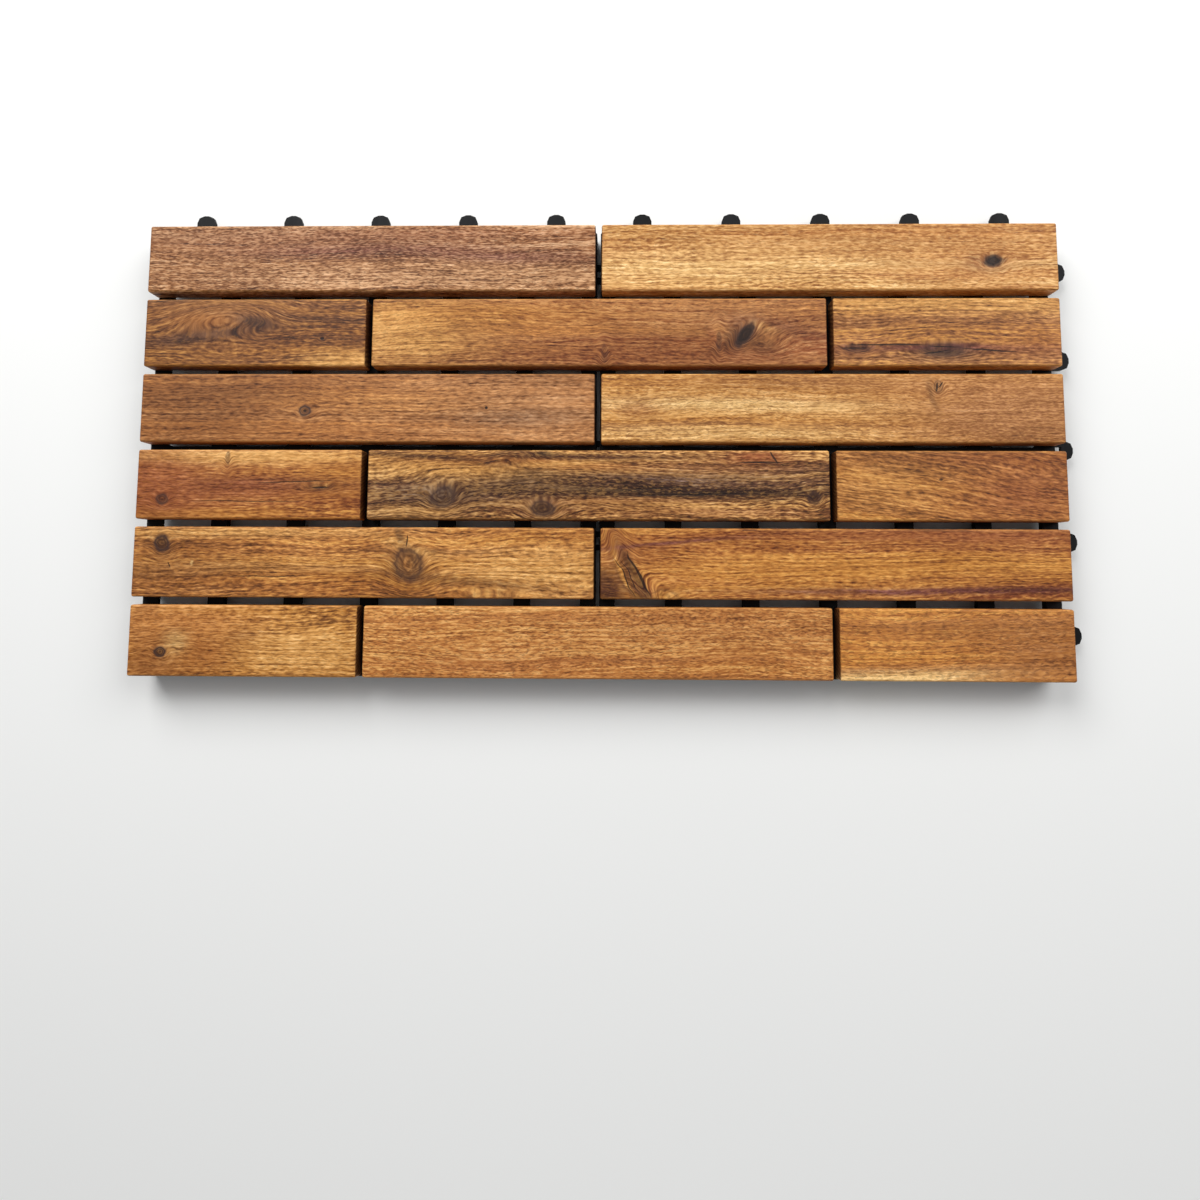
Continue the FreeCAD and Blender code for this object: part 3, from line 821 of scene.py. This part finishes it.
def keep_piece(name, node, mesh, material):
    """Makes the mesh a finished piece that takes its node's place on the tile."""
    piece = bpy.data.objects.new(name, mesh)
    bpy.context.scene.collection.objects.link(piece)
    mesh.materials.clear()
    mesh.materials.append(material)
    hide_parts(node)
    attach(piece, "root")
    return piece


def round_off(form, edges, radius, steps):
    """Rounds edges off with so many flats."""
    bmesh.ops.bevel(
        form, geom=edges, offset=radius, offset_type="OFFSET", segments=steps, profile=0.5,
        affect="EDGES", material=-1,
    )


def board_mesh(name, low, high, settings):
    """A plank with round top and upright edges and eased bottom edges."""
    form = bmesh.new()
    seat = Matrix.Translation((low + high) / 2) @ Matrix.Diagonal((*(high - low), 1.0))
    bmesh.ops.create_cube(form, size=1.0, matrix=seat)

    def at_bottom(edge):
        return all(abs(corner.co.z - low.z) < SAME_PLACE for corner in edge.verts)

    upper = [edge for edge in form.edges if not at_bottom(edge)]
    round_off(form, upper, settings.edge_round, settings.round_steps)
    rim = [edge for edge in form.edges if at_bottom(edge)]
    round_off(form, rim, settings.under_ease, SOFT_STEPS)
    for face in form.faces:
        face.smooth = True
    return finished_mesh(form, name)


class DECK_OT_boards(bpy.types.Operator):
    """Make the fifteen boards, each with its own figure"""

    bl_idname = "deck.boards"
    bl_label = "Boards"

    def execute(self, context):
        settings = context.scene.deck_boards
        for number, name in enumerate(BOARDS):
            node = f"slat_{name}"
            low, high = (Vector(corner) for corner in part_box(node))
            mesh = board_mesh(f"board_{name}", low, high, settings)
            wood = Acacia(name, FIRST_SEED + SEED_STEP * number, low, high, settings).finished()
            piece = keep_piece(f"board_{name}", node, mesh, wood)
            even = piece.modifiers.new("Even shading", "WEIGHTED_NORMAL")
            even.keep_sharp = True
        return {"FINISHED"}


class DECK_OT_bases(bpy.types.Operator):
    """Give the two moulded bases soft edges and their plastic"""

    bl_idname = "deck.bases"
    bl_label = "Moulded bases"

    def execute(self, context):
        settings = context.scene.deck_bases
        plastic = moulded_plastic(settings)
        for side in ("left", "right"):
            node = f"base_{side}"
            form = bmesh.new()
            form.from_mesh(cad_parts[node].data)
            bmesh.ops.remove_doubles(form, verts=form.verts, dist=MOULDING_WELD)
            bmesh.ops.dissolve_limit(
                form, angle_limit=MOULDING_FLAT, verts=form.verts, edges=form.edges
            )
            mesh = finished_mesh(form, f"lattice_{side}")
            piece = keep_piece(f"lattice_{side}", node, mesh, plastic)
            soft = piece.modifiers.new("Moulded edges", "BEVEL")
            soft.width = settings.edge_round
            soft.segments = SOFT_STEPS
            soft.limit_method = "ANGLE"
            soft.angle_limit = MOULDING_SHARP
            soft.harden_normals = False
        return {"FINISHED"}


def islands(form):
    """Groups of vertices that hang together, in the mesh's own order."""
    left = set(form.verts)
    for first in form.verts:
        if first not in left:
            continue
        left.discard(first)
        group = [first]
        for vert in group:
            for edge in vert.link_edges:
                other = edge.other_vert(vert)
                if other in left:
                    left.discard(other)
                    group.append(other)
        yield group


def cross_recess(form, cap, arm, slot, depth):
    """Presses a cross into a level face that looks down, about the origin."""
    geom = [cap, *cap.verts, *cap.edges]
    for axis in (Vector((1, 0, 0)), Vector((0, 1, 0))):
        for offset in (-arm, -slot, slot, arm):
            cut = bmesh.ops.bisect_plane(
                form, geom=geom, dist=CUT_TOLERANCE, plane_co=axis * offset, plane_no=axis
            )
            geom = cut["geom"]
    faces = []
    for part in geom:
        if isinstance(part, bmesh.types.BMFace):
            middle = part.calc_center_median()
            near, far = sorted((abs(middle.x), abs(middle.y)))
            if near < slot and far < arm:
                faces.append(part)
    pressed = bmesh.ops.extrude_face_region(form, geom=faces)["geom"]
    floor = [part for part in pressed if isinstance(part, bmesh.types.BMVert)]
    bmesh.ops.scale(form, vec=(RECESS_FLOOR_SHARE, RECESS_FLOOR_SHARE, 1), verts=floor)
    bmesh.ops.translate(form, vec=(0, 0, depth), verts=floor)


def turned_bar(form, sides, start, end, depth, top):
    """A round bar or cone about the upright axis, and its vertices."""
    return bmesh.ops.create_cone(
        form, cap_ends=True, segments=sides, radius1=start, radius2=end, depth=depth,
        matrix=Matrix.Translation((0, 0, top - depth / 2)),
    )["verts"]


def screw_mesh(head_width, head_height, shank_width, shank_length, settings):
    """A pan-head wood screw, head down, with the face that meets the base at nought."""
    form = bmesh.new()
    head = turned_bar(form, HEAD_SIDES, head_width / 2, head_width / 2, head_height, 0)
    lower = [vert for vert in head if vert.co.z < -head_height / 2]
    rim = [edge for edge in form.edges if all(vert in lower for vert in edge.verts)]
    round_off(form, rim, head_height * RIM_SHARE, HEAD_STEPS)
    form.faces.ensure_lookup_table()
    cap = min(form.faces, key=lambda face: (face.normal.z, -face.calc_area()))
    width = settings.recess_width
    cross_recess(form, cap, width / 2, width * SLOT_SHARE, settings.recess_depth)

    crest = shank_width / 2
    core = crest * CORE_SHARE
    point = shank_width
    straight = shank_length - point
    turned_bar(form, SHANK_SIDES, core, core, straight, straight)
    turned_bar(form, SHANK_SIDES, core, core * POINT_SHARE, point, shank_length)

    foot = core * FOOT_SHARE
    pitch = settings.thread_pitch
    turns = int((straight - pitch) / pitch)
    spots = [
        bmesh.ops.create_vert(form, co=(out, 0, pitch * along))["vert"][0]
        for out, along in ((foot, 0.2), (crest, 0.5), (foot, 0.8))
    ]
    ridge = [form.edges.new(pair) for pair in zip(spots, spots[1:])]
    bmesh.ops.spin(
        form, geom=[*spots, *ridge], cent=(0, 0, 0), axis=(0, 0, 1),
        dvec=(0, 0, pitch / SHANK_SIDES), angle=2 * math.pi * turns, steps=turns * SHANK_SIDES,
    )
    return finished_mesh(form, "one_screw")


class DECK_OT_screws(bpy.types.Operator):
    """Make the screws that hold the boards from below"""

    bl_idname = "deck.screws"
    bl_label = "Screws"

    def execute(self, context):
        settings = context.scene.deck_screws
        blanks = bmesh.new()
        blanks.from_mesh(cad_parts["slat_screws"].data)
        bmesh.ops.remove_doubles(blanks, verts=blanks.verts, dist=SAME_PLACE)
        form = bmesh.new()
        screw = None
        for group in islands(blanks):
            heights = sorted({round(vert.co.z, 6) for vert in group})
            foot, seat, top = heights[0], heights[-2], heights[-1]
            head, shank = (
                [vert.co for vert in group if abs(vert.co.z - height) < SAME_PLACE]
                for height in (foot, top)
            )
            middle = sum(head, Vector()) / len(head)
            if screw is None:
                head_width, shank_width = (
                    2 * max((spot.xy - middle.xy).length for spot in ring) for ring in (head, shank)
                )
                screw = screw_mesh(head_width, seat - foot, shank_width, top - seat, settings)
            start = len(form.verts)
            form.from_mesh(screw)
            form.verts.ensure_lookup_table()
            bmesh.ops.translate(
                form, vec=(middle.x, middle.y, seat), verts=form.verts[start:]
            )
        blanks.free()
        bpy.data.meshes.remove(screw)
        mesh = finished_mesh(form, "screws")
        keep_piece("screws", "slat_screws", mesh, plated_steel(settings))
        return {"FINISHED"}


def soft_light(name, place, aim, side, watts):
    lamp = bpy.data.lights.new(name, "AREA")
    lamp.shape = "SQUARE"
    lamp.size = side
    lamp.energy = watts
    light = bpy.data.objects.new(name, lamp)
    light.location = place
    light.rotation_euler = (Vector(aim) - Vector(place)).to_track_quat("-Z", "Y").to_euler()
    bpy.context.scene.collection.objects.link(light)


def soft_sky(strength):
    world = bpy.data.worlds.new("studio_sky")
    world.use_nodes = True
    sky = world.node_tree.nodes["Background"]
    sky.inputs["Color"].default_value = (0.95, 0.97, 1.0, 1.0)
    sky.inputs["Strength"].default_value = strength
    bpy.context.scene.world = world


def photo_camera(lens_pixels):
    """The camera that sees the deck as the photograph does."""
    left_low, left_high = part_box("slat_row1_left")
    right_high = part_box("slat_row1_right")[1]
    front_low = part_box("slat_row6_left")[0]
    deck = Vector(
        (
            (left_low[0] + right_high[0]) / 2,
            (front_low[1] + left_high[1]) / 2,
            left_high[2],
        )
    )
    turn = Euler([math.radians(angle) for angle in VIEW_TURN]).to_matrix().transposed()
    eye = bpy.data.cameras.new("photo_camera")
    eye.sensor_fit = "HORIZONTAL"
    eye.sensor_width = 36.0
    eye.lens = lens_pixels / IMAGE_SIDE * eye.sensor_width
    eye.shift_y = -AXIS_ABOVE_MIDDLE / IMAGE_SIDE
    eye.clip_start = 0.01
    camera = bpy.data.objects.new("photo_camera", eye)
    place = deck - turn @ (Vector(DECK_FROM_CAMERA) * MILLIMETRE)
    camera.matrix_world = Matrix.Translation(place) @ turn.to_4x4()
    bpy.context.scene.collection.objects.link(camera)
    bpy.context.scene.camera = camera


class DECK_OT_studio(bpy.types.Operator):
    """Set the floor, the soft light and the camera"""

    bl_idname = "deck.studio"
    bl_label = "Studio"

    def execute(self, context):
        settings = context.scene.deck_studio
        form = bmesh.new()
        bmesh.ops.create_grid(form, x_segments=4, y_segments=4, size=FLOOR_REACH)
        mesh = finished_mesh(form, "studio_floor")
        mesh.materials.append(studio_paint(settings))
        floor = bpy.data.objects.new("studio_floor", mesh)
        context.scene.collection.objects.link(floor)

        low, high = (Vector(corner) for corner in cad_box)
        middle = (low + high) / 2
        for name, place, side in LIGHTS:
            watts = getattr(settings, f"{name}_power")
            soft_light(f"{name}_light", place, middle, side, watts)
        soft_sky(settings.sky)
        context.scene.view_settings.view_transform = "Standard"
        photo_camera(settings.lens_pixels)
        return {"FINISHED"}


class DECK_PT_panel(bpy.types.Panel):
    """Sizes, colours and steps of the deck tile"""

    bl_idname = "DECK_PT_panel"
    bl_label = "Deck Tile"
    bl_space_type = "VIEW_3D"
    bl_region_type = "UI"
    bl_category = "Deck Tile"

    def draw(self, context):
        for operator, name, group in STEPS:
            box = self.layout.box()
            box.operator(operator.bl_idname)
            settings = getattr(context.scene, name)
            for key in group.__annotations__:
                box.prop(settings, key)


STEPS = (
    (DECK_OT_boards, "deck_boards", BoardSettings),
    (DECK_OT_bases, "deck_bases", BaseSettings),
    (DECK_OT_screws, "deck_screws", ScrewSettings),
    (DECK_OT_studio, "deck_studio", StudioSettings),
)


def register():
    for operator, name, group in STEPS:
        bpy.utils.register_class(group)
        setattr(bpy.types.Scene, name, bpy.props.PointerProperty(type=group))
        bpy.utils.register_class(operator)
    bpy.utils.register_class(DECK_PT_panel)


def unregister():
    bpy.utils.unregister_class(DECK_PT_panel)
    for operator, name, group in reversed(STEPS):
        bpy.utils.unregister_class(operator)
        delattr(bpy.types.Scene, name)
        bpy.utils.unregister_class(group)


def main():
    register()
    bpy.ops.deck.boards()
    bpy.ops.deck.bases()
    bpy.ops.deck.screws()
    bpy.ops.deck.studio()


if __name__ == "__main__":
    main()
